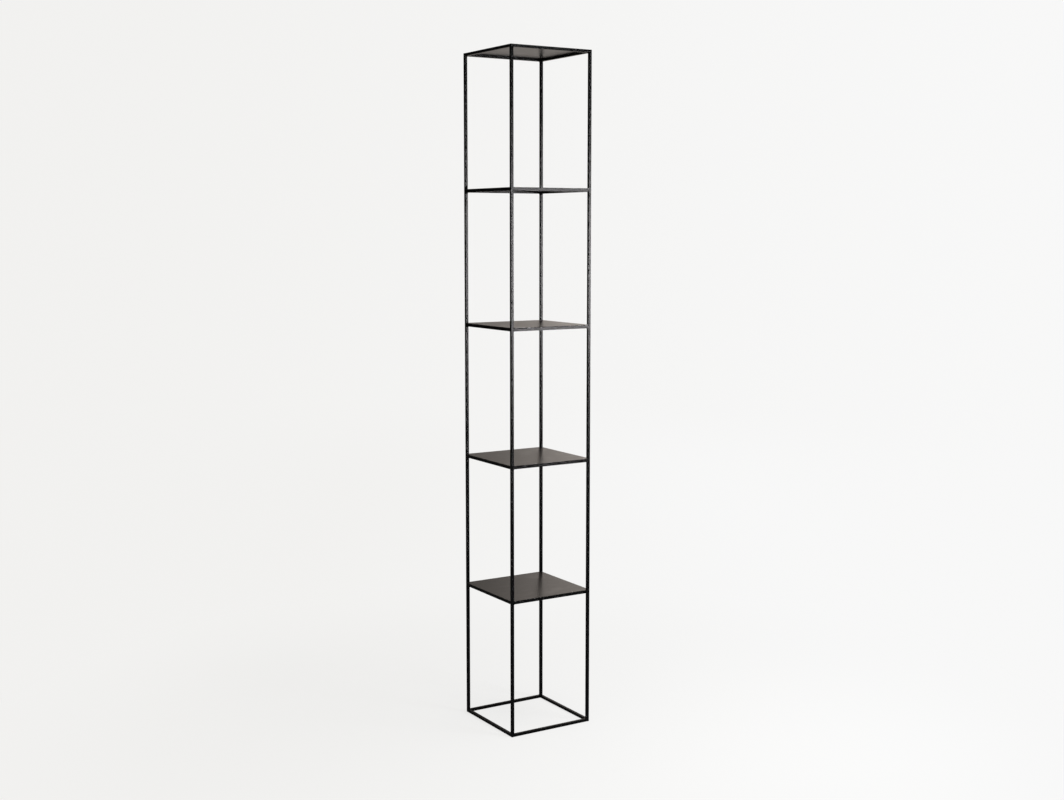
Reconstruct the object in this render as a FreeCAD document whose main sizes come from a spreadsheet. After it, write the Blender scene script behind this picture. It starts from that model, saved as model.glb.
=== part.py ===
import FreeCAD, Part
import Sketcher
import math
import os

# A slim, square, open tower of shelves, welded from square bar and thin sheet.
# Origin: centre of the footprint, on the floor. X runs to the right along the front,
# Y runs back, Z runs up. All lengths are in millimetres.

# Driving sizes. The plan is measured over the outer faces of the uprights.
TOWER_SIZES = {
    "tower_width": 260.0,
    "tower_depth": 260.0,
    "shelf_pitch": 380.0,
    "bar_size": 8.0,
    "bar_edge_radius": 0.4,
    "sheet_thickness": 1.5,
    "sheet_clearance": 0.3,
    "notch_corner_radius": 0.5,
    "weld_leg": 2.0,
    "weld_end_bevel": 0.6,
    "stitch_length": 14.0,
    "stitch_spacing": 120.0,
    "cut_overrun": 2.0,
}

# The rings of bars from the floor up. Each stands one shelf pitch above the last.
RING_NAMES = ["base", "shelf_1", "shelf_2", "shelf_3", "shelf_4", "top"]

BAR = "Sizes.bar_size"
HALF_WIDTH = "Sizes.tower_width / 2"
HALF_DEPTH = "Sizes.tower_depth / 2"
BAR_CENTRE_X = "(Sizes.tower_width - Sizes.bar_size) / 2"
BAR_CENTRE_Y = "(Sizes.tower_depth - Sizes.bar_size) / 2"
CLEAR_HALF_X = "(Sizes.tower_width / 2 - Sizes.bar_size)"
CLEAR_HALF_Y = "(Sizes.tower_depth / 2 - Sizes.bar_size)"

doc = FreeCAD.newDocument("shelf_tower")
sheet = doc.addObject("Spreadsheet::Sheet", "Sizes")
for row, (alias, value) in enumerate(TOWER_SIZES.items(), start=1):
    sheet.set(f"A{row}", alias)
    sheet.set(f"B{row}", str(value))
    sheet.setAlias(f"B{row}", alias)
doc.recompute()

pieces = []


def size(name):
    return float(sheet.get(name))


def new_body(label):
    body = doc.addObject("PartDesign::Body", label)
    body.Label = label
    pieces.append(body)
    return body


def place(body, x="0 mm", y="0 mm", z="0 mm"):
    body.setExpression("Placement.Base.x", x)
    body.setExpression("Placement.Base.y", y)
    body.setExpression("Placement.Base.z", z)


def origin_plane(body, role):
    return next(item for item in body.Origin.OriginFeatures if item.Role == role)


def new_sketch(body, name, role, offset=None):
    sketch = body.newObject("Sketcher::SketchObject", name)
    sketch.AttachmentSupport = [(origin_plane(body, role), "")]
    sketch.MapMode = "FlatFace"
    if offset:
        sketch.setExpression("AttachmentOffset.Base.z", offset)
    return sketch


def segment(sketch, start, end):
    line = Part.LineSegment(FreeCAD.Vector(*start, 0), FreeCAD.Vector(*end, 0))
    return sketch.addGeometry(line, False)


def hold(sketch, kind, *picks):
    return sketch.addConstraint(Sketcher.Constraint(kind, *picks))


def drive(sketch, name, expression, kind, *picks):
    index = hold(sketch, kind, *picks)
    sketch.renameConstraint(index, name)
    sketch.setExpression(f"Constraints.{name}", expression)


def centred_rectangle(sketch, across, across_now, up, up_now):
    a, b = across_now / 2, up_now / 2
    corners = [(-a, -b), (a, -b), (a, b), (-a, b)]
    sides = [segment(sketch, corners[i], corners[(i + 1) % 4]) for i in range(4)]
    for i in range(4):
        hold(sketch, "Coincident", sides[i], 2, sides[(i + 1) % 4], 1)
    hold(sketch, "Horizontal", sides[0])
    hold(sketch, "Vertical", sides[1])
    hold(sketch, "Horizontal", sides[2])
    hold(sketch, "Vertical", sides[3])
    hold(sketch, "Symmetric", sides[0], 1, sides[1], 2, -1, 1)
    drive(sketch, "across", across, "DistanceX", sides[0], 1, sides[0], 2, across_now)
    drive(sketch, "up", up, "DistanceY", sides[1], 1, sides[1], 2, up_now)


def new_pad(body, name, sketch, length):
    pad = body.newObject("PartDesign::Pad", name)
    pad.Profile = sketch
    pad.setExpression("Length", length)
    return pad


def mirror_all(body, name, role):
    mirror = body.newObject("PartDesign::Mirrored", name)
    mirror.MirrorPlane = (origin_plane(body, role), [""])
    mirror.TransformMode = "Whole shape"
    body.Tip = mirror
    doc.recompute()


# Square bar, cut square at both ends, with its four long edges rounded as it is drawn.
# It runs along one axis of its own body, whose origin is at the middle of the section.
BAR_PLANES = {"X": "YZ_Plane", "Y": "XZ_Plane", "Z": "XY_Plane"}


def square_bar(label, direction, length, from_middle):
    body = new_body(label)
    section = new_sketch(body, label + "_section", BAR_PLANES[direction])
    centred_rectangle(section, BAR, size("bar_size"), BAR, size("bar_size"))
    pad = new_pad(body, label + "_length", section, length)
    pad.Midplane = from_middle
    doc.recompute()
    along = FreeCAD.Vector(direction == "X", direction == "Y", direction == "Z")
    long_edges = [
        f"Edge{number}"
        for number, edge in enumerate(pad.Shape.Edges, start=1)
        if abs(edge.tangentAt(edge.FirstParameter).dot(along)) > 0.5
    ]
    rounding = body.newObject("PartDesign::Fillet", label + "_edges")
    rounding.Base = (pad, long_edges)
    rounding.setExpression("Radius", "Sizes.bar_edge_radius")
    body.Tip = rounding
    return body


# One upright at each corner, in one length from the floor to the top.
UPRIGHT_CORNERS = {
    "front_left": ("-", "-"),
    "front_right": ("", "-"),
    "rear_left": ("-", ""),
    "rear_right": ("", ""),
}


def ring_bottom(index):
    return f"Sizes.shelf_pitch * {index}"


def build_uprights():
    height = f"{ring_bottom(len(RING_NAMES) - 1)} + {BAR}"
    for corner, (sign_x, sign_y) in UPRIGHT_CORNERS.items():
        upright = square_bar(f"{corner}_upright", "Z", height, False)
        place(upright, x=sign_x + BAR_CENTRE_X, y=sign_y + BAR_CENTRE_Y)


# A ring is four bars butted between the uprights, level with their outer faces.
def build_ring(index, ring):
    middle = f"{ring_bottom(index)} + {BAR} / 2"
    for side, sign in (("front", "-"), ("rear", "")):
        rail = square_bar(f"{ring}_{side}_rail", "X", f"2 * {CLEAR_HALF_X}", True)
        place(rail, y=sign + BAR_CENTRE_Y, z=middle)
    for side, sign in (("left", "-"), ("right", "")):
        rail = square_bar(f"{ring}_{side}_rail", "Y", f"2 * {CLEAR_HALF_Y}", True)
        place(rail, x=sign + BAR_CENTRE_X, z=middle)


# The corner cut from a shelf sheet for an upright: a square with its inner corner
# rounded, drawn from outside the sheet's own corner so that it cuts right through.
def notch_outline(sketch):
    overrun = size("cut_overrun")
    radius = size("notch_corner_radius")
    depth = size("bar_size") + size("sheet_clearance")
    left = -size("tower_width") / 2 - overrun
    front = -size("tower_depth") / 2 - overrun
    right = left + overrun + depth
    back = front + overrun + depth
    along_front = segment(sketch, (left, front), (right, front))
    along_right = segment(sketch, (right, front), (right, back - radius))
    round_centre = FreeCAD.Vector(right - radius, back - radius, 0)
    circle = Part.Circle(round_centre, FreeCAD.Vector(0, 0, 1), radius)
    inner = sketch.addGeometry(Part.ArcOfCircle(circle, 0, math.radians(90)), False)
    along_back = segment(sketch, (right - radius, back), (left, back))
    along_left = segment(sketch, (left, back), (left, front))
    hold(sketch, "Coincident", along_front, 2, along_right, 1)
    hold(sketch, "Tangent", along_right, 2, inner, 1)
    hold(sketch, "Tangent", inner, 2, along_back, 1)
    hold(sketch, "Coincident", along_back, 2, along_left, 1)
    hold(sketch, "Coincident", along_left, 2, along_front, 1)
    hold(sketch, "Horizontal", along_front)
    hold(sketch, "Vertical", along_right)
    hold(sketch, "Horizontal", along_back)
    hold(sketch, "Vertical", along_left)
    drive(sketch, "corner_radius", "Sizes.notch_corner_radius", "Radius", inner, radius)
    drive(sketch, "left_edge", f"{HALF_WIDTH} + Sizes.cut_overrun",
          "DistanceX", along_left, 2, -1, 1, -left)
    drive(sketch, "front_edge", f"{HALF_DEPTH} + Sizes.cut_overrun",
          "DistanceY", along_left, 2, -1, 1, -front)
    drive(sketch, "right_edge", f"{CLEAR_HALF_X} - Sizes.sheet_clearance",
          "DistanceX", along_right, 1, -1, 1, -right)
    drive(sketch, "back_edge", f"{CLEAR_HALF_Y} - Sizes.sheet_clearance",
          "DistanceY", along_back, 2, -1, 1, -back)


# A shelf sheet lies on its ring, out to the bars' outer faces, notched round the uprights.
def notched_sheet(label, underside):
    body = new_body(label)
    outline = new_sketch(body, label + "_outline", "XY_Plane")
    centred_rectangle(outline, "Sizes.tower_width", size("tower_width"),
                      "Sizes.tower_depth", size("tower_depth"))
    new_pad(body, label + "_plate", outline, "Sizes.sheet_thickness")
    doc.recompute()
    notch_sketch = new_sketch(body, label + "_notch_outline", "XY_Plane")
    notch_outline(notch_sketch)
    notch = body.newObject("PartDesign::Pocket", label + "_notch")
    notch.Profile = notch_sketch
    notch.Type = "ThroughAll"
    notch.Midplane = True
    doc.recompute()
    notches = body.newObject("PartDesign::MultiTransform", label + "_notches")
    notches.Originals = [notch]
    across = body.newObject("PartDesign::Mirrored", label + "_notches_across")
    across.MirrorPlane = (origin_plane(body, "YZ_Plane"), [""])
    back = body.newObject("PartDesign::Mirrored", label + "_notches_back")
    back.MirrorPlane = (origin_plane(body, "XZ_Plane"), [""])
    notches.Transformations = [across, back]
    body.Tip = notches
    place(body, z=underside)


# The top sheet is let in between the bars of the top ring, level with their tops.
def inset_sheet(label, underside):
    body = new_body(label)
    outline = new_sketch(body, label + "_outline", "XY_Plane")
    gap = size("bar_size") + size("sheet_clearance")
    centred_rectangle(outline,
                      f"2 * ({CLEAR_HALF_X} - Sizes.sheet_clearance)", size("tower_width") - 2 * gap,
                      f"2 * ({CLEAR_HALF_Y} - Sizes.sheet_clearance)", size("tower_depth") - 2 * gap)
    new_pad(body, label + "_plate", outline, "Sizes.sheet_thickness")
    place(body, z=underside)


# A fillet weld fills an inside corner with a slightly convex face. Its section is drawn in
# the corner under a level face at zero height and beside a wall that faces the middle.
def bead_section(sketch, wall, wall_now):
    leg = size("weld_leg")
    corner = (-wall_now, 0)
    inner = (-wall_now + leg, 0)
    lower = (-wall_now, -leg)
    level = segment(sketch, corner, inner)
    upright = segment(sketch, corner, lower)
    centre = FreeCAD.Vector(-wall_now - leg, leg, 0)
    reach = centre.distanceToPoint(FreeCAD.Vector(*inner, 0))
    circle = Part.Circle(centre, FreeCAD.Vector(0, 0, 1), reach)
    start = circle.parameter(FreeCAD.Vector(*lower, 0))
    end = circle.parameter(FreeCAD.Vector(*inner, 0))
    face = sketch.addGeometry(Part.ArcOfCircle(circle, start, end), False)
    hold(sketch, "Coincident", level, 1, upright, 1)
    hold(sketch, "Coincident", upright, 2, face, 1)
    hold(sketch, "Coincident", level, 2, face, 2)
    hold(sketch, "Horizontal", level)
    hold(sketch, "Vertical", upright)
    hold(sketch, "PointOnObject", level, 1, -1)
    drive(sketch, "wall", wall, "DistanceX", level, 1, -1, 1, wall_now)
    drive(sketch, "level_leg", "Sizes.weld_leg", "DistanceX", level, 1, level, 2, leg)
    drive(sketch, "upright_leg", "Sizes.weld_leg", "DistanceY", upright, 2, upright, 1, leg)
    drive(sketch, "face_centre", "Sizes.weld_leg", "DistanceX", face, 3, level, 1, leg)


def bead(body, name, role, wall, wall_now, start, run):
    section = new_sketch(body, name + "_section", role, offset=start)
    bead_section(section, wall, wall_now)
    return new_pad(body, name, section, run)


def face_edges(pad):
    return [
        f"Edge{number}"
        for number, edge in enumerate(pad.Shape.Edges, start=1)
        if isinstance(edge.Curve, Part.Circle)
    ]


# Two beads laid in one corner of the ring, with bevelled ends, and repeated in the rest.
def bead_group(label, runs):
    body = new_body(label)
    for number, (role, wall, wall_now, start, run) in enumerate(runs, start=1):
        last = bead(body, f"{label}_bead_{number}", role, wall, wall_now, start, run)
        doc.recompute()
    ends = body.newObject("PartDesign::Chamfer", label + "_ends")
    ends.Base = (last, face_edges(last))
    ends.setExpression("Size", "Sizes.weld_end_bevel")
    mirror_all(body, label + "_across", "YZ_Plane")
    mirror_all(body, label + "_back", "XZ_Plane")
    return body


# Corner welds: across each bar's end, in the corner that it makes with the upright.
def corner_welds(ring, height, turned_over):
    clear_x = size("tower_width") / 2 - size("bar_size")
    clear_y = size("tower_depth") / 2 - size("bar_size")
    run = f"{BAR} - 2 * Sizes.bar_edge_radius"
    runs = [
        ("XZ_Plane", CLEAR_HALF_X, clear_x, f"{CLEAR_HALF_Y} + Sizes.bar_edge_radius", run),
        ("YZ_Plane", CLEAR_HALF_Y, clear_y, f"-({HALF_WIDTH} - Sizes.bar_edge_radius)", run),
    ]
    body = bead_group(f"{ring}_corner_welds", runs)
    if turned_over:
        body.Placement.Rotation = FreeCAD.Rotation(FreeCAD.Vector(1, 0, 0), 180)
    place(body, z=height)


# Stitch welds: two to a side, in the corner under the sheet beside the bar's inner face.
def stitch_welds(ring, height):
    clear_x = size("tower_width") / 2 - size("bar_size")
    clear_y = size("tower_depth") / 2 - size("bar_size")
    start = "(Sizes.stitch_spacing - Sizes.stitch_length) / 2"
    runs = [
        ("YZ_Plane", CLEAR_HALF_Y, clear_y, start, "Sizes.stitch_length"),
        ("XZ_Plane", CLEAR_HALF_X, clear_x, start, "Sizes.stitch_length"),
    ]
    body = bead_group(f"{ring}_stitch_welds", runs)
    place(body, z=height)


def check_document():
    for item in doc.Objects:
        if "Invalid" in item.State or "Error" in item.State:
            raise RuntimeError(f"{item.Label} failed: {item.State}")
    for piece in pieces:
        if piece.Shape.isNull() or not piece.Shape.isValid():
            raise RuntimeError(f"{piece.Label} has no valid shape")


build_uprights()
for index, ring in enumerate(RING_NAMES):
    build_ring(index, ring)
    bar_top = f"{ring_bottom(index)} + {BAR}"
    if ring == "base":
        corner_welds(ring, bar_top, True)
    else:
        corner_welds(ring, ring_bottom(index), False)
    if ring == "top":
        underside = f"{bar_top} - Sizes.sheet_thickness"
        inset_sheet(f"{ring}_sheet", underside)
        stitch_welds(ring, underside)
    elif ring != "base":
        notched_sheet(f"{ring}_sheet", bar_top)
        stitch_welds(ring, bar_top)

doc.recompute()
check_document()
os.makedirs("parts", exist_ok=True)
for piece in pieces:
    piece.Shape.exportStep(f"parts/{piece.Label}.step")
    box = piece.Shape.BoundBox
    print(piece.Label, len(piece.Shape.Solids), "solids", round(piece.Shape.Volume, 3), "mm3",
          [round(v, 2) for v in (box.XMin, box.XMax, box.YMin, box.YMax, box.ZMin, box.ZMax)])
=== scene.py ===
"""Slim steel tower bookshelf: paint, rippled weld beads and a pale studio round the CAD frame.

The CAD nodes of the bars and the sheets stay as they are and are painted here.
The weld nodes are replaced by beads modelled with their ripples.
"""

import math
from collections import namedtuple

import bpy
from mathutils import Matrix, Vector


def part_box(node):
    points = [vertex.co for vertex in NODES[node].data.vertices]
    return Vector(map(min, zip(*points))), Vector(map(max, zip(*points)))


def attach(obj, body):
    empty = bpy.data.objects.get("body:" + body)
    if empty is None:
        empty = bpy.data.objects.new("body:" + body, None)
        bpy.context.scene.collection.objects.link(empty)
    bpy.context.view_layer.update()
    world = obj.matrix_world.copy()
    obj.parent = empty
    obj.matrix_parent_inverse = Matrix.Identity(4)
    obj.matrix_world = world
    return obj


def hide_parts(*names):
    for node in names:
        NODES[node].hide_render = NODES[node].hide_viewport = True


bl_info = {
    "name": "Slim Steel Tower Bookshelf",
    "version": (1, 0, 0),
    "blender": (4, 5, 0),
    "location": "View3D > Sidebar > Bookshelf",
    "description": "Paints the tower bookshelf, lays its weld beads and builds its studio",
    "category": "Object",
}

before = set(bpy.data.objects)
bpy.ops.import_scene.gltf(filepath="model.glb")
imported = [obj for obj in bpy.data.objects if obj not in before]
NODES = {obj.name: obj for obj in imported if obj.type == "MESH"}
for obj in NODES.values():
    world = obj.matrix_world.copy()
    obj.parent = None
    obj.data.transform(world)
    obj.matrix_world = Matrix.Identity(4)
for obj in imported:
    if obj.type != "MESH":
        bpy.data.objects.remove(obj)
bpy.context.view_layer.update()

BODY = "root"

CORNERS = ("front_left", "front_right", "rear_left", "rear_right")
SIDES = ("front", "rear", "left", "right")
SHELVES = ("shelf_1", "shelf_2", "shelf_3", "shelf_4")
RINGS = ("base", *SHELVES, "top")
SHEETED_RINGS = (*SHELVES, "top")

BAR_LOW, BAR_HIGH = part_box("front_left_upright")
BAR_SIZE = BAR_HIGH.x - BAR_LOW.x
INNER_FACE = -BAR_HIGH.x
BAR_CENTRE = INNER_FACE + BAR_SIZE / 2

# A weld bead's section, how deep it sinks into the metal, and the crown at its start.
# HAIR and MERGE_SHARE are shares of its leg: how far past a plane a vertex counts as past it,
# and how near two vertices are merged.
ARC_VERTICES = 32
ROOT_SINK = 0.00015
HAIR = 0.01
MERGE_SHARE = 0.002
CROWN_LEAD = 0.0006
CROWN_SHARES = (0.92, 0.75, 0.45)
CROWN_RISE = 0.7
BEAD_CREASE = math.radians(50.0)

# The steps along a bead, each with its length and how much the bead swells in it.
# A ripple's lengths are shares of its pitch.
START_STEPS = ((0.00025, 1.45), (0.0003, 1.18))
RIPPLE_STEPS = ((0.42, 1.055), (0.33, 1.0), (0.25, 0.9479))
END_STEPS = ((0.00025, 0.90), (0.00025, 0.78), (0.0002, 0.60))
LEAST_RIPPLES = 3
RIPPLE_WOBBLE = (1.0, 1.03, 0.98, 1.02, 0.97, 1.025, 0.99, 1.015, 0.975, 1.02, 1.0, 0.985)

# Under about 0.274 the denoiser takes a paint for a mirror.
# Where the roughness crosses that value it leaves ragged marks.
LEAST_ROUGHNESS = 0.282

# The paints, as recipes of patterns that vary over the surface from 0 to 1.
# A noise has patches as wide as the paint setting that it names, times its own number.
# A mark is what shows of a noise: nothing of it up to its start, and all of it from full on.
# A coat lies over those before it where its pattern is, as strongly as its share says.
# Its colour is a paint setting, made as many times as bright as its tone says.
# The recipe's own colour and tone lie under all the coats.
# Roughening and relief say how much of a pattern adds to the roughness and to the height.
# Levelling comes off the roughness in return.
Noise = namedtuple("Noise", "width times detail roughness stretch", defaults=(0.5, None))
Mark = namedtuple("Mark", "noise start full")
Coat = namedtuple("Coat", "pattern share colour tone")
Recipe = namedtuple(
    "Recipe", "noises marks colour tone coats levelling roughening relief texture shine"
)
BAR_RECIPE = Recipe(
    noises={
        "peel": Noise(width="grain_size", times=1.0, detail=3.0, roughness=0.55),
        "specks": Noise(width="grain_size", times=0.55, detail=1.0),
        "scuffs": Noise(width="grain_size", times=8.0, detail=4.0),
        "smudge": Noise(width="smudge_size", times=1.0, detail=3.0, roughness=0.6),
        "drift": Noise(width="smudge_size", times=6.0, detail=1.0),
    },
    marks={
        "speck": Mark(noise="specks", start=0.66, full=0.74),
        "scuff": Mark(noise="scuffs", start=0.50, full=0.64),
        "worn": Mark(noise="smudge", start=0.50, full=0.72),
    },
    colour="bar_colour",
    tone=0.80,
    coats=(
        Coat(pattern="drift", share=1.0, colour="bar_colour", tone=1.20),
        Coat(pattern="worn", share=0.50, colour="bar_colour", tone=2.2),
        Coat(pattern="speck", share=0.35, colour="dust_colour", tone=0.5),
        Coat(pattern="rubbed_edge", share=0.55, colour="dust_colour", tone=0.6),
    ),
    levelling=0.03,
    roughening={"smudge": 0.04, "peel": 0.02, "worn": -0.02, "rubbed_edge": -0.03},
    relief={"peel": 1.0, "speck": 0.5},
    texture=0.14,
    shine=0.08,
)
SHEET_RECIPE = Recipe(
    noises={
        "grain": Noise(width="grain_size", times=0.9, detail=4.0, roughness=0.6),
        "streak": Noise(width="grain_size", times=2.0, detail=3.0, stretch=(30.0, 1.0, 1.0)),
        "specks": Noise(width="grain_size", times=0.6, detail=1.0),
        "smudge": Noise(width="smudge_size", times=1.0, detail=4.0, roughness=0.62),
        "drift": Noise(width="smudge_size", times=3.5, detail=1.0),
    },
    marks={
        "speck": Mark(noise="specks", start=0.64, full=0.73),
        "worn": Mark(noise="smudge", start=0.46, full=0.70),
    },
    colour="sheet_colour",
    tone=0.82,
    coats=(
        Coat(pattern="drift", share=1.0, colour="sheet_colour", tone=1.18),
        Coat(pattern="worn", share=0.40, colour="sheet_colour", tone=1.7),
        Coat(pattern="streak", share=0.30, colour="sheet_colour", tone=0.60),
        Coat(pattern="speck", share=0.25, colour="dust_colour", tone=1.0),
        Coat(pattern="cut_edge", share=1.0, colour="sheet_colour", tone=0.35),
    ),
    levelling=0.05,
    roughening={"smudge": 0.12, "grain": 0.05, "streak": 0.05, "worn": -0.07, "cut_edge": 0.22},
    relief={"grain": 1.0, "speck": 0.4, "streak": 0.3},
    texture=0.18,
    shine=0.50,
)
WELD_RECIPE = Recipe(
    noises={
        "peel": Noise(width="grain_size", times=0.7, detail=3.0),
        "pools": Noise(width="grain_size", times=4.0, detail=2.0),
    },
    marks={"pool": Mark(noise="pools", start=0.35, full=0.70)},
    colour="weld_colour",
    tone=0.75,
    coats=(Coat(pattern="pool", share=1.0, colour="weld_colour", tone=1.5),),
    levelling=0.0,
    roughening={"pools": 0.16, "peel": 0.05},
    relief={"peel": 1.0},
    texture=0.35,
    shine=0.25,
)
WELD_ROUGHNESS = 0.30
TEXTURE_DEPTH = 0.00004

# Edges, by how far the surface faces along an axis: up to the first value it is all edge,
# and from the second on there is none.
BAR_EDGE = (0.76, 0.96)
SHEET_EDGE = (0.35, 0.75)

# The camera, its picture and the directions that the studio is laid out by.
IMAGE_WIDTH = 1064
SENSOR_WIDTH = 36.0
CAMERA_YAW = math.radians(31.76)
CAMERA_PITCH = math.radians(-6.26)
CAMERA_SHIFT_PIXELS = -12.0
PICTURE_RIGHT = (math.cos(CAMERA_YAW), -math.sin(CAMERA_YAW), 0.0)

# The floor. A fade is how many metres from the tower's middle something starts to end,
# and where it has ended: the floor, its shadow, and how dark the gloss sees it.
# Its tones run across the picture, also in metres.
FLOOR_RADIUS = 9.0
FLOOR_SIDES = 96
FLOOR_FADE = (3.0, 8.1)
FLOOR_LIT_COLOUR = (0.90, 0.895, 0.885)
FLOOR_ACROSS = (-1.1, 1.3)
SHADOW_SHARE = 0.18
SHADOW_FADE = (0.45, 1.60)
GLOSS_FLOOR_FADE = (4.0, 9.0)
GLOSS_FLOOR_TONE = 0.14

# The background, by how far a direction points across the picture and how far up.
# The gloss sees a warm wall there. It is dark high up and on the left, half dark
# below the horizon, and lit again far to the left, a little way up.
WORLD_ACROSS = (-0.36, 0.40)
FILL_COLOUR = (1.0, 0.985, 0.96)
WALL_TONE = (1.0, 0.91, 0.84)
WALL_LEFT = (-0.02, 0.03)
WALL_LEFT_HEIGHT = (0.055, 0.20)
WALL_FAR_LEFT = (-0.78, -0.58)
WALL_FAR_LEFT_HEIGHT = (0.26, 0.42)
WALL_FAR_LEFT_LIT = 0.62
WALL_TOP = (0.50, 0.85)
WALL_FOOT = (-0.20, -0.02)
WALL_FOOT_DARK = 0.50
WALL_DARK_TONE = 0.05

# Lamps. The spread of a beam is in degrees, and the power names a setting of the stage.
# Each lamp lights either the gloss of the paints or all the rest.
Lamp = namedtuple("Lamp", "name place target width height spread power colour in_gloss")
LAMPS = (
    Lamp(
        name="front_right_softbox",
        place=(1.58, -2.55, 1.27),
        target=(0.0, 0.0, 1.30),
        width=1.1,
        height=0.90,
        spread=180.0,
        power="softbox_power",
        colour=(0.93, 0.97, 1.0),
        in_gloss=False,
    ),
    Lamp(
        name="gridded_gloss_panel",
        place=(3.85, -5.84, 1.18),
        target=(-0.21, -0.15, 1.24),
        width=0.80,
        height=0.78,
        spread=16.0,
        power="gloss_power",
        colour=(1.0, 0.97, 0.99),
        in_gloss=True,
    ),
    Lamp(
        name="overhead_softbox",
        place=(0.3, -0.6, 3.6),
        target=(0.0, 0.0, 0.9),
        width=2.4,
        height=2.4,
        spread=180.0,
        power="overhead_power",
        colour=(1.0, 0.99, 0.97),
        in_gloss=False,
    ),
)

# Black boards, each turned round Z by some degrees.
Flag = namedtuple("Flag", "name place turn width height")
FLAGS = (
    Flag(name="left_flag", place=(-2.54, 5.44, 0.50), turn=25.0, width=5.4, height=5.0),
    Flag(name="panel_flag", place=(4.00, -6.47, 1.30), turn=31.8, width=7.4, height=7.8),
)
FLAG_COLOUR = (0.004, 0.004, 0.004)
BLACK = (0.0, 0.0, 0.0)

# A Mix node has sockets for every kind of value. These are the numbers of those for colours.
MIX_SHARE = 0
MIX_FIRST = 6
MIX_SECOND = 7
MIX_RESULT = 2


class PaintSettings(bpy.types.PropertyGroup):
    """Colours, roughness and texture sizes of the paints."""

    bar_colour: bpy.props.FloatVectorProperty(
        name="Bar Colour",
        description="Colour of the paint on the uprights and the rails",
        subtype="COLOR",
        size=3,
        min=0.0,
        max=1.0,
        default=(0.0022, 0.0022, 0.0024),
    )
    sheet_colour: bpy.props.FloatVectorProperty(
        name="Sheet Colour",
        description="Colour of the paint on the shelf sheets and the top sheet",
        subtype="COLOR",
        size=3,
        min=0.0,
        max=1.0,
        default=(0.016, 0.0129, 0.0109),
    )
    weld_colour: bpy.props.FloatVectorProperty(
        name="Weld Colour",
        description="Colour of the paint on the weld beads",
        subtype="COLOR",
        size=3,
        min=0.0,
        max=1.0,
        default=(0.005, 0.005, 0.0054),
    )
    dust_colour: bpy.props.FloatVectorProperty(
        name="Dust Colour",
        description="Colour of the fine dust specks that settle on the paint",
        subtype="COLOR",
        size=3,
        min=0.0,
        max=1.0,
        default=(0.060, 0.056, 0.052),
    )
    bar_roughness: bpy.props.FloatProperty(
        name="Bar Roughness",
        description="Mean roughness of the bars' satin paint",
        subtype="FACTOR",
        min=0.0,
        max=1.0,
        default=0.30,
    )
    sheet_roughness: bpy.props.FloatProperty(
        name="Sheet Roughness",
        description="Mean roughness of the sheets' finely textured paint",
        subtype="FACTOR",
        min=0.0,
        max=1.0,
        default=0.26,
    )
    grain_size: bpy.props.FloatProperty(
        name="Grain Size",
        description="Width of one grain of the paint's fine texture",
        unit="LENGTH",
        min=0.0002,
        max=0.01,
        default=0.0011,
    )
    smudge_size: bpy.props.FloatProperty(
        name="Smudge Size",
        description="Width of the soft smudges that change the paint's shine",
        unit="LENGTH",
        min=0.005,
        max=0.5,
        default=0.055,
    )


class WeldSettings(bpy.types.PropertyGroup):
    """Sizes of the weld beads."""

    leg: bpy.props.FloatProperty(
        name="Leg",
        description="Height and width of a bead from the corner that it fills",
        unit="LENGTH",
        min=0.0005,
        max=0.01,
        default=0.002,
    )
    ripple_pitch: bpy.props.FloatProperty(
        name="Ripple Pitch",
        description="Distance between two ripples of a bead",
        unit="LENGTH",
        min=0.0004,
        max=0.005,
        default=0.00105,
    )
    corner_length: bpy.props.FloatProperty(
        name="Corner Bead Length",
        description="Length of a bead across a bar, where a rail meets an upright",
        unit="LENGTH",
        min=0.002,
        max=0.05,
        default=0.0074,
    )
    stitch_length: bpy.props.FloatProperty(
        name="Stitch Bead Length",
        description="Length of a stitch bead under a sheet",
        unit="LENGTH",
        min=0.002,
        max=0.05,
        default=0.0138,
    )
    stitch_spacing: bpy.props.FloatProperty(
        name="Stitch Spacing",
        description="Distance between the two stitches on one side of a sheet",
        unit="LENGTH",
        min=0.02,
        max=0.2,
        default=0.120,
    )


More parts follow.
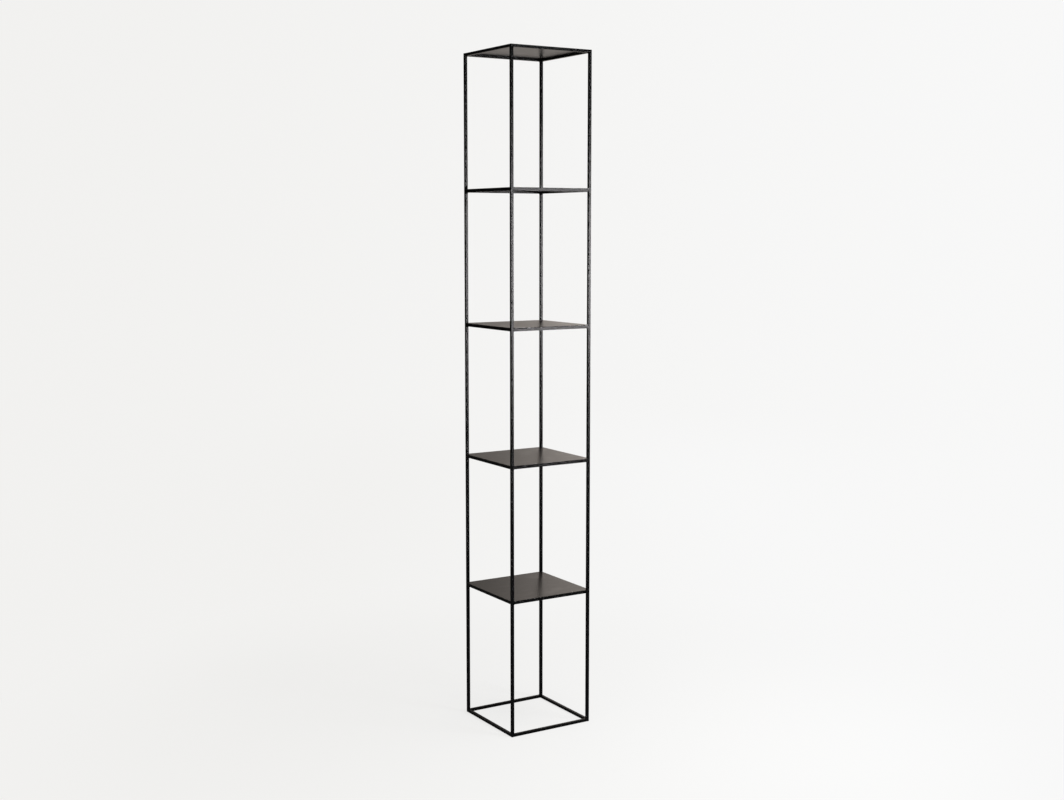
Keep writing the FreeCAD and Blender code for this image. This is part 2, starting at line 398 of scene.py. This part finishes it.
class StageSettings(bpy.types.PropertyGroup):
    """The studio round the bookshelf, and the camera."""

    left_tone: bpy.props.FloatVectorProperty(
        name="Background Left",
        description="Background tone on the left of the picture",
        subtype="COLOR",
        size=3,
        min=0.0,
        max=1.0,
        default=(0.886, 0.881, 0.868),
    )
    right_tone: bpy.props.FloatVectorProperty(
        name="Background Right",
        description="Background tone on the right of the picture",
        subtype="COLOR",
        size=3,
        min=0.0,
        max=1.0,
        default=(0.938, 0.938, 0.936),
    )
    fill_strength: bpy.props.FloatProperty(
        name="Fill Strength",
        description="Strength of the even fill light from all round",
        min=0.0,
        max=2.0,
        default=0.36,
    )
    softbox_power: bpy.props.FloatProperty(
        name="Softbox Power",
        description="Power of the softbox in front and to the right",
        unit="POWER",
        min=0.0,
        max=500.0,
        default=84.0,
    )
    gloss_power: bpy.props.FloatProperty(
        name="Gloss Panel Power",
        description="Power of the panel with a narrow beam that only the gloss of the paint shows",
        unit="POWER",
        min=0.0,
        max=500.0,
        default=4.4,
    )
    overhead_power: bpy.props.FloatProperty(
        name="Overhead Power",
        description="Power of the wide soft light above",
        unit="POWER",
        min=0.0,
        max=500.0,
        default=64.0,
    )
    camera_place: bpy.props.FloatVectorProperty(
        name="Camera Place",
        description="Where the camera stands",
        subtype="TRANSLATION",
        unit="LENGTH",
        size=3,
        default=(-2.14828, -3.49689, 1.41634),
    )
    camera_yaw: bpy.props.FloatProperty(
        name="Camera Yaw",
        description="Angle of the camera's line of sight to the right of straight ahead",
        unit="ROTATION",
        default=CAMERA_YAW,
    )
    camera_pitch: bpy.props.FloatProperty(
        name="Camera Pitch",
        description="Angle of the camera's line of sight above the horizon",
        unit="ROTATION",
        default=CAMERA_PITCH,
    )
    focal_length: bpy.props.FloatProperty(
        name="Focal Length",
        description="Focal length of the lens for a sensor 36 mm wide",
        unit="CAMERA",
        min=10.0,
        max=300.0,
        default=48.944,
    )


class Wire:
    """One output of a node. A sum written with it adds its Math nodes."""

    def __init__(self, graph, socket):
        self.graph = graph
        self.socket = socket

    def math(self, operation, *values, clamp=False):
        return self.graph.node(
            "ShaderNodeMath",
            {"operation": operation, "use_clamp": clamp},
            dict(enumerate(values)),
        )

    def __add__(self, other):
        return self.math("ADD", self, other)

    def __radd__(self, other):
        return self.math("ADD", other, self)

    def __sub__(self, other):
        return self.math("SUBTRACT", self, other)

    def __rsub__(self, other):
        return self.math("SUBTRACT", other, self)

    def __mul__(self, other):
        return self.math("MULTIPLY", self, other)

    def __rmul__(self, other):
        return self.math("MULTIPLY", other, self)

    def __abs__(self):
        return self.math("ABSOLUTE", self)

    def or_more(self, other):
        """The larger of the two."""
        return self.math("MAXIMUM", self, other)

    def clamped(self):
        return self.math("ADD", self, 0.0, clamp=True)


class ShaderGraph:
    """The node tree of one material or of the world, empty at first."""

    def __init__(self, owner):
        owner.use_nodes = True
        self.tree = owner.node_tree
        self.tree.nodes.clear()

    def node(self, kind, settings=None, inputs=None, output=0):
        """Adds a node: its settings first, then the values and links of its sockets.

        Gives back one of its outputs, if it has any.
        """
        made = self.tree.nodes.new(kind)
        for key, value in (settings or {}).items():
            setattr(made, key, value)
        for key, value in (inputs or {}).items():
            if isinstance(value, Wire):
                self.tree.links.new(value.socket, made.inputs[key])
            else:
                made.inputs[key].default_value = value
        return Wire(self, made.outputs[output]) if made.outputs else None

    def place(self):
        """The point on the surface, in the bookshelf's own frame."""
        return self.node("ShaderNodeTexCoord", output="Object")

    def stretched(self, point, stretch):
        """The point, with the pattern on it drawn out along each axis by these factors."""
        return self.node(
            "ShaderNodeMapping",
            inputs={"Vector": point, "Scale": tuple(1.0 / factor for factor in stretch)},
        )

    def facing(self, axis):
        """How far the surface faces along an axis, from 0 to 1."""
        normal = self.node("ShaderNodeNewGeometry", output="Normal")
        return abs(self.node("ShaderNodeSeparateXYZ", inputs={"Vector": normal}, output=axis))

    def noise(self, point, size, detail, roughness):
        """Cloudy noise from 0 to 1 whose patches are about size metres wide."""
        return self.node(
            "ShaderNodeTexNoise",
            {"noise_dimensions": "3D"},
            {"Vector": point, "Scale": 1.0 / size, "Detail": detail, "Roughness": roughness},
        )

    def spread(self, value, low, high, low_out=0.0, high_out=1.0):
        """Value, taken smoothly from low..high to low_out..high_out."""
        return self.node(
            "ShaderNodeMapRange",
            {"interpolation_type": "SMOOTHSTEP", "clamp": True},
            {
                "Value": value,
                "From Min": low,
                "From Max": high,
                "To Min": low_out,
                "To Max": high_out,
            },
        )

    def mix_colour(self, share, first, second):
        """First colour at a share of 0, second at 1."""
        return self.node(
            "ShaderNodeMix",
            {"data_type": "RGBA"},
            {MIX_SHARE: share, MIX_FIRST: rgba(first), MIX_SECOND: rgba(second)},
            output=MIX_RESULT,
        )

    def layered(self, colour, *layers):
        """A colour with others laid over it in turn, each to its own share."""
        for share, over in layers:
            colour = self.mix_colour(share, colour, over)
        return colour

    def mix_shader(self, share, first, second):
        return self.node("ShaderNodeMixShader", inputs={0: share, 1: first, 2: second})

    def patterns(self, recipe, settings):
        """The noises of a recipe and its marks, by name."""
        point = self.place()
        patterns = {}
        for name, noise in recipe.noises.items():
            size = noise.times * getattr(settings, noise.width)
            place = self.stretched(point, noise.stretch) if noise.stretch else point
            patterns[name] = self.noise(place, size, noise.detail, noise.roughness)
        for name, mark in recipe.marks.items():
            patterns[name] = self.spread(patterns[mark.noise], mark.start, mark.full)
        return patterns

    def paint_with(self, recipe, patterns, settings, roughness):
        """Ends the material in the paint of a recipe."""
        colour = scaled(getattr(settings, recipe.colour), recipe.tone)
        for coat in recipe.coats:
            over = scaled(getattr(settings, coat.colour), coat.tone)
            colour = self.mix_colour(coat.share * patterns[coat.pattern], colour, over)
        roughness = total(recipe.roughening, patterns, roughness - recipe.levelling)
        normal = self.node(
            "ShaderNodeBump",
            inputs={
                "Height": total(recipe.relief, patterns, 0.0),
                "Distance": TEXTURE_DEPTH,
                "Strength": recipe.texture,
            },
        )
        shader = self.node(
            "ShaderNodeBsdfPrincipled",
            inputs={
                "Base Color": colour,
                "Roughness": roughness.or_more(LEAST_ROUGHNESS),
                "Specular IOR Level": recipe.shine,
                "Normal": normal,
            },
        )
        self.surface(shader)

    def across_picture(self, point, reach):
        """From 0 at the left of the picture to 1 at its right."""
        along = self.node(
            "ShaderNodeVectorMath",
            {"operation": "DOT_PRODUCT"},
            {0: point, 1: PICTURE_RIGHT},
            output="Value",
        )
        return self.spread(along, *reach)

    def ray(self, kind):
        """1 for rays of this kind, 0 for others."""
        return self.node("ShaderNodeLightPath", output=f"Is {kind} Ray")

    def seen_directly(self):
        """1 for the camera's rays, reflections and refractions, 0 for light passed on."""
        return (self.ray("Camera") + self.ray("Glossy") + self.ray("Transmission")).clamped()

    def surface(self, shader):
        self.node("ShaderNodeOutputMaterial", inputs={"Surface": shader})

    def background(self, shader):
        self.node("ShaderNodeOutputWorld", inputs={"Surface": shader})


def rgba(colour):
    """A colour as four numbers, or a wire as it is."""
    return colour if isinstance(colour, Wire) else (*colour, 1.0)


def scaled(colour, factor):
    return tuple(channel * factor for channel in colour)


def total(amounts, patterns, start):
    """The start plus every pattern times its amount."""
    return sum((amount * patterns[name] for name, amount in amounts.items()), start)


def paint(name, mix, settings):
    """The paint of this name, mixed the first time that it is asked for."""
    material = bpy.data.materials.get(name)
    if material is None:
        material = bpy.data.materials.new(name)
        mix(ShaderGraph(material), settings)
    return material


def bar_paint(graph, settings):
    """Satin black paint of the bars: orange peel, dust specks, soft smudges and rubbed edges."""
    patterns = graph.patterns(BAR_RECIPE, settings)
    facing = graph.facing("X").or_more(graph.facing("Y")).or_more(graph.facing("Z"))
    patterns["rubbed_edge"] = graph.spread(facing, *BAR_EDGE, 1.0, 0.0) * patterns["scuff"]
    graph.paint_with(BAR_RECIPE, patterns, settings, settings.bar_roughness)


def sheet_paint(graph, settings):
    """Warm black paint of the sheets: rolling streaks, smudges, dust and a dark, rough edge."""
    patterns = graph.patterns(SHEET_RECIPE, settings)
    patterns["cut_edge"] = graph.spread(graph.facing("Z"), *SHEET_EDGE, 1.0, 0.0)
    graph.paint_with(SHEET_RECIPE, patterns, settings, settings.sheet_roughness)


def weld_paint(graph, settings):
    """Black paint of the beads, pooled a little thicker in places."""
    patterns = graph.patterns(WELD_RECIPE, settings)
    graph.paint_with(WELD_RECIPE, patterns, settings, WELD_ROUGHNESS)


def paint_nodes(names, material):
    """Gives the CAD nodes of these names one paint."""
    for name in names:
        piece = NODES[name]
        for place in piece.material_slots:
            place.material = material
        if not piece.material_slots:
            piece.data.materials.append(material)


def deselect():
    """Leaves nothing selected, and Blender in object mode."""
    if bpy.context.mode != "OBJECT":
        bpy.ops.object.mode_set(mode="OBJECT")
    bpy.ops.object.select_all(action="DESELECT")


def select_only(*objects):
    deselect()
    for each in objects:
        each.select_set(True)
    bpy.context.view_layer.objects.active = objects[0]


def select_vertices(piece, chosen):
    """Selects the vertices whose place passes the test, and goes into edit mode."""
    bpy.ops.object.mode_set(mode="EDIT")
    bpy.ops.mesh.select_mode(type="VERT")
    bpy.ops.mesh.select_all(action="DESELECT")
    bpy.ops.object.mode_set(mode="OBJECT")
    for vertex in piece.data.vertices:
        vertex.select = chosen(vertex.co)
    bpy.ops.object.mode_set(mode="EDIT")


def rename(piece, name):
    piece.name = name
    piece.data.name = name
    return piece


def grow(length, swell, place):
    """Extrudes the selected end of a bead along X and swells it round the corner that it fills."""
    bpy.ops.mesh.extrude_region_move(TRANSFORM_OT_translate={"value": (length, 0.0, 0.0)})
    place += length
    bpy.ops.transform.resize(value=(1.0, swell, swell), center_override=(place, 0.0, 0.0))
    return place


def model_bead(name, length, leg, pitch):
    """One weld bead along X, centred on the origin.

    It fills the corner between a wall that faces +Y and a ceiling that faces -Z.
    """
    deselect()
    first_leg = leg / math.prod(swell for _, swell in START_STEPS)
    bpy.ops.mesh.primitive_circle_add(
        vertices=ARC_VERTICES,
        radius=first_leg,
        fill_type="TRIFAN",
        location=(-length / 2, 0.0, 0.0),
        rotation=(0.0, math.pi / 2, 0.0),
    )
    bead = rename(bpy.context.active_object, name)
    bpy.ops.object.transform_apply(location=True, rotation=True, scale=True)
    hair = leg * HAIR
    select_vertices(bead, lambda at: at.y < -hair or at.z > hair)
    bpy.ops.mesh.delete(type="VERT")
    for share in CROWN_SHARES:
        rise = first_leg * (1.0 - share) * CROWN_RISE
        select_vertices(bead, lambda at: min(at.y, -at.z) > rise)
        bpy.ops.transform.translate(value=(CROWN_LEAD / len(CROWN_SHARES), 0.0, 0.0))
    bpy.ops.mesh.select_mode(type="FACE")
    bpy.ops.mesh.select_all(action="SELECT")
    place = -length / 2
    for advance, swell in START_STEPS:
        place = grow(advance, swell, place)
    ends = sum(advance for advance, _ in START_STEPS + END_STEPS)
    run = length - ends - CROWN_LEAD
    ripples = max(LEAST_RIPPLES, round(run / pitch))
    size = 1.0
    for ripple in range(ripples):
        wobble = RIPPLE_WOBBLE[ripple % len(RIPPLE_WOBBLE)]
        for index, (advance, swell) in enumerate(RIPPLE_STEPS):
            factor = swell * (wobble / size if index == 0 else 1.0)
            place = grow(advance * run / ripples, factor, place)
        size = wobble
    for advance, swell in END_STEPS:
        place = grow(advance, swell, place)
    bpy.ops.mesh.select_all(action="SELECT")
    bpy.ops.transform.translate(value=(0.0, -ROOT_SINK, ROOT_SINK))
    bpy.ops.mesh.remove_doubles(threshold=leg * MERGE_SHARE)
    bpy.ops.mesh.normals_make_consistent(inside=False)
    bpy.ops.object.mode_set(mode="OBJECT")
    return bead


def copy_of(piece, name, place=(0.0, 0.0, 0.0), turn=0.0, flip=False):
    """A copy whose own mesh takes up its turn round Z, its flip if any, and its place."""
    select_only(piece)
    bpy.ops.object.duplicate(linked=False)
    copy = rename(bpy.context.active_object, name)
    copy.location = place
    copy.rotation_euler = (0.0, 0.0, turn)
    copy.scale = (1.0, 1.0, -1.0 if flip else 1.0)
    bpy.ops.object.transform_apply(location=True, rotation=True, scale=True)
    if flip:
        bpy.ops.object.mode_set(mode="EDIT")
        bpy.ops.mesh.select_all(action="SELECT")
        bpy.ops.mesh.normals_make_consistent(inside=False)
        bpy.ops.object.mode_set(mode="OBJECT")
    return copy


def bead_set(name, bead, places):
    """Copies of a bead at these places, joined in one object at the height of the origin."""
    copies = [
        copy_of(bead, f"{name}_{index}", (x, y, 0.0), turn)
        for index, (x, y, turn) in enumerate(places)
    ]
    select_only(*copies)
    bpy.ops.object.join()
    return rename(bpy.context.active_object, name)


def four_sides(across, along):
    """Places and turns of two beads on each of four sides, which all face the tower's middle."""
    quarter = math.pi / 2
    places = []
    for shift in (-along, along):
        places.append((shift, -across, 0.0))
        places.append((shift, across, 2 * quarter))
        places.append((-across, shift, -quarter))
        places.append((across, shift, quarter))
    return places


def finish_bead_piece(piece, node, material):
    """Paints a set of beads, smooths its shading and lets it stand for its CAD node."""
    piece.data.materials.clear()
    piece.data.materials.append(material)
    select_only(piece)
    bpy.ops.object.shade_smooth_by_angle(angle=BEAD_CREASE)
    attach(piece, BODY)
    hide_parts(node)


def remove(*pieces):
    select_only(*pieces)
    bpy.ops.object.delete()


class BOOKSHELF_OT_paint_uprights(bpy.types.Operator):
    """Paint the four uprights in satin black"""

    bl_idname = "bookshelf.paint_uprights"
    bl_label = "Paint Uprights"

    def execute(self, context):
        satin = paint("satin_black_bar_paint", bar_paint, context.scene.bookshelf_paint)
        paint_nodes([f"{corner}_upright" for corner in CORNERS], satin)
        return {"FINISHED"}


class BOOKSHELF_OT_paint_rails(bpy.types.Operator):
    """Paint the four rails of each ring in satin black"""

    bl_idname = "bookshelf.paint_rails"
    bl_label = "Paint Rails"

    def execute(self, context):
        satin = paint("satin_black_bar_paint", bar_paint, context.scene.bookshelf_paint)
        paint_nodes([f"{ring}_{side}_rail" for ring in RINGS for side in SIDES], satin)
        return {"FINISHED"}


class BOOKSHELF_OT_paint_sheets(bpy.types.Operator):
    """Paint the four shelf sheets and the top sheet in warm black"""

    bl_idname = "bookshelf.paint_sheets"
    bl_label = "Paint Sheets"

    def execute(self, context):
        warm = paint("warm_black_sheet_paint", sheet_paint, context.scene.bookshelf_paint)
        paint_nodes([f"{ring}_sheet" for ring in SHEETED_RINGS], warm)
        return {"FINISHED"}


class BOOKSHELF_OT_lay_corner_welds(bpy.types.Operator):
    """Lay the eight beads of each ring, where its rails meet the uprights"""

    bl_idname = "bookshelf.lay_corner_welds"
    bl_label = "Lay Corner Welds"

    def execute(self, context):
        welds = context.scene.bookshelf_welds
        black = paint("black_weld_paint", weld_paint, context.scene.bookshelf_paint)
        bead = model_bead("corner_bead", welds.corner_length, welds.leg, welds.ripple_pitch)
        places = four_sides(INNER_FACE, BAR_CENTRE)
        ring_set = bead_set("corner_bead_set", bead, places)
        for ring in RINGS:
            low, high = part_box(f"{ring}_front_rail")
            on_top = ring == "base"
            height = high.z if on_top else low.z
            piece = copy_of(ring_set, f"{ring}_corner_beads", (0.0, 0.0, height), flip=on_top)
            finish_bead_piece(piece, f"{ring}_corner_welds", black)
        remove(bead, ring_set)
        return {"FINISHED"}


class BOOKSHELF_OT_lay_stitch_welds(bpy.types.Operator):
    """Lay the eight short stitches under each sheet, along the inner sides of its ring"""

    bl_idname = "bookshelf.lay_stitch_welds"
    bl_label = "Lay Stitch Welds"

    def execute(self, context):
        welds = context.scene.bookshelf_welds
        black = paint("black_weld_paint", weld_paint, context.scene.bookshelf_paint)
        bead = model_bead("stitch_bead", welds.stitch_length, welds.leg, welds.ripple_pitch)
        places = four_sides(INNER_FACE, welds.stitch_spacing / 2)
        sheet_set = bead_set("stitch_bead_set", bead, places)
        for ring in SHEETED_RINGS:
            low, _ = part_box(f"{ring}_sheet")
            piece = copy_of(sheet_set, f"{ring}_stitch_beads", (0.0, 0.0, low.z))
            finish_bead_piece(piece, f"{ring}_stitch_welds", black)
        remove(bead, sheet_set)
        return {"FINISHED"}


def floor_paint(graph, settings):
    """A pale floor of an even tone that keeps a soft shadow and fades out far from the tower.

    The gloss of the paints sees it dark near the tower and without the shadow.
    """
    point = graph.place()
    mirrored = graph.ray("Glossy")
    radius = graph.node(
        "ShaderNodeVectorMath", {"operation": "LENGTH"}, {0: point}, output="Value"
    )
    near = mirrored * graph.spread(radius, *GLOSS_FLOOR_FADE, 1.0, 0.0)
    tone = graph.layered(
        settings.left_tone,
        (graph.across_picture(point, FLOOR_ACROSS), settings.right_tone),
        ((1.0 - GLOSS_FLOOR_TONE) * near, BLACK),
    )
    even = graph.node("ShaderNodeEmission", inputs={"Color": tone})
    lit = graph.node("ShaderNodeBsdfDiffuse", inputs={"Color": rgba(FLOOR_LIT_COLOUR)})
    share = graph.spread(radius, *SHADOW_FADE, SHADOW_SHARE, 0.0) * (1.0 - mirrored)
    shader = graph.mix_shader(graph.seen_directly(), lit, graph.mix_shader(share, even, lit))
    clear = graph.node("ShaderNodeBsdfTransparent")
    graph.surface(graph.mix_shader(graph.spread(radius, *FLOOR_FADE), shader, clear))


def build_floor(settings):
    deselect()
    bpy.ops.mesh.primitive_circle_add(
        vertices=FLOOR_SIDES, radius=FLOOR_RADIUS, fill_type="NGON", location=(0.0, 0.0, 0.0)
    )
    floor = rename(bpy.context.active_object, "studio_floor")
    floor.data.materials.append(paint("pale_studio_floor", floor_paint, settings))


def build_world(settings):
    """A pale background, and an even fill light from all round."""
    world = bpy.data.worlds.new("pale_studio")
    bpy.context.scene.world = world
    graph = ShaderGraph(world)
    direction = graph.node("ShaderNodeTexCoord", output="Generated")
    height = graph.node("ShaderNodeSeparateXYZ", inputs={"Vector": direction}, output="Z")
    mirrored = graph.ray("Glossy")
    left = 1.0 - graph.across_picture(direction, WALL_LEFT)
    far_left = 1.0 - graph.across_picture(direction, WALL_FAR_LEFT)
    lit_again = WALL_FAR_LEFT_LIT * (far_left * graph.spread(height, *WALL_FAR_LEFT_HEIGHT))
    left_dark = left * graph.spread(height, *WALL_LEFT_HEIGHT) * (1.0 - lit_again)
    top_dark = graph.spread(height, *WALL_TOP)
    foot_dark = graph.spread(height, *WALL_FOOT, WALL_FOOT_DARK, 0.0)
    dark = mirrored * left_dark.or_more(top_dark).or_more(foot_dark)
    colour = graph.layered(
        settings.left_tone,
        (graph.across_picture(direction, WORLD_ACROSS), settings.right_tone),
        (mirrored, WALL_TONE),
        ((1.0 - WALL_DARK_TONE) * dark, BLACK),
    )
    seen = graph.node("ShaderNodeBackground", inputs={"Color": colour})
    fill = graph.node(
        "ShaderNodeBackground",
        inputs={"Color": rgba(FILL_COLOUR), "Strength": settings.fill_strength},
    )
    graph.background(graph.mix_shader(graph.seen_directly(), fill, seen))


def add_lamps(settings):
    """Soft rectangular lamps that face their targets and aren't seen by the camera."""
    for plan in LAMPS:
        deselect()
        facing = Vector(plan.target) - Vector(plan.place)
        turn = facing.to_track_quat("-Z", "Y").to_euler()
        bpy.ops.object.light_add(type="AREA", location=plan.place, rotation=turn)
        lamp = rename(bpy.context.active_object, plan.name)
        lamp.data.shape = "RECTANGLE"
        lamp.data.size = plan.width
        lamp.data.size_y = plan.height
        lamp.data.spread = math.radians(plan.spread)
        lamp.data.energy = getattr(settings, plan.power)
        lamp.data.color = plan.colour
        lamp.visible_camera = False
        lamp.visible_glossy = plan.in_gloss
        lamp.visible_diffuse = not plan.in_gloss


def flag_cloth(graph, _):
    graph.surface(graph.node("ShaderNodeBsdfDiffuse", inputs={"Color": rgba(FLAG_COLOUR)}))


def build_flags():
    """Black boards out of the picture, which only the gloss of the paint shows."""
    for plan in FLAGS:
        deselect()
        upright = (math.pi / 2, 0.0, math.radians(plan.turn))
        bpy.ops.mesh.primitive_plane_add(size=1.0, location=plan.place, rotation=upright)
        flag = rename(bpy.context.active_object, plan.name)
        flag.scale = (plan.width, plan.height, 1.0)
        bpy.ops.object.transform_apply(location=True, rotation=True, scale=True)
        flag.data.materials.append(paint("black_flag_cloth", flag_cloth, None))
        flag.visible_camera = False
        flag.visible_shadow = False
        flag.visible_diffuse = False


def place_camera(settings):
    deselect()
    yaw, pitch = settings.camera_yaw, settings.camera_pitch
    level = Vector((math.sin(yaw), math.cos(yaw), 0.0)) * math.cos(pitch)
    sight = level + Vector((0.0, 0.0, math.sin(pitch)))
    turn = sight.to_track_quat("-Z", "Y").to_euler()
    bpy.ops.object.camera_add(location=settings.camera_place, rotation=turn)
    camera = rename(bpy.context.active_object, "photograph_camera")
    camera.data.sensor_width = SENSOR_WIDTH
    camera.data.lens = settings.focal_length
    camera.data.shift_y = CAMERA_SHIFT_PIXELS / IMAGE_WIDTH
    bpy.context.scene.camera = camera


class BOOKSHELF_OT_build_stage(bpy.types.Operator):
    """Build the pale floor, the background, the lamps, the black boards and the camera"""

    bl_idname = "bookshelf.build_stage"
    bl_label = "Build Stage"

    def execute(self, context):
        settings = context.scene.bookshelf_stage
        context.scene.view_settings.view_transform = "Standard"
        build_world(settings)
        build_floor(settings)
        add_lamps(settings)
        build_flags()
        place_camera(settings)
        return {"FINISHED"}


class BOOKSHELF_PT_panel(bpy.types.Panel):
    """The bookshelf's settings and steps"""

    bl_idname = "BOOKSHELF_PT_panel"
    bl_label = "Tower Bookshelf"
    bl_space_type = "VIEW_3D"
    bl_region_type = "UI"
    bl_category = "Bookshelf"

    def draw(self, context):
        layout = self.layout
        for settings, steps in PANEL_ROWS:
            box = layout.box()
            group = getattr(context.scene, settings)
            for name in group.__annotations__:
                box.prop(group, name)
            for step in steps:
                box.operator(step)


PANEL_ROWS = (
    (
        "bookshelf_paint",
        ("bookshelf.paint_uprights", "bookshelf.paint_rails", "bookshelf.paint_sheets"),
    ),
    ("bookshelf_welds", ("bookshelf.lay_corner_welds", "bookshelf.lay_stitch_welds")),
    ("bookshelf_stage", ("bookshelf.build_stage",)),
)
SETTINGS = {
    "bookshelf_paint": PaintSettings,
    "bookshelf_welds": WeldSettings,
    "bookshelf_stage": StageSettings,
}
CLASSES = (
    *SETTINGS.values(),
    BOOKSHELF_OT_paint_uprights,
    BOOKSHELF_OT_paint_rails,
    BOOKSHELF_OT_paint_sheets,
    BOOKSHELF_OT_lay_corner_welds,
    BOOKSHELF_OT_lay_stitch_welds,
    BOOKSHELF_OT_build_stage,
    BOOKSHELF_PT_panel,
)


def register():
    for each in CLASSES:
        bpy.utils.register_class(each)
    for name, group in SETTINGS.items():
        setattr(bpy.types.Scene, name, bpy.props.PointerProperty(type=group))


def unregister():
    for name in SETTINGS:
        delattr(bpy.types.Scene, name)
    for each in reversed(CLASSES):
        bpy.utils.unregister_class(each)


def main():
    register()
    bpy.ops.bookshelf.paint_uprights()
    bpy.ops.bookshelf.paint_rails()
    bpy.ops.bookshelf.paint_sheets()
    bpy.ops.bookshelf.lay_corner_welds()
    bpy.ops.bookshelf.lay_stitch_welds()
    bpy.ops.bookshelf.build_stage()


if __name__ == "__main__":
    main()
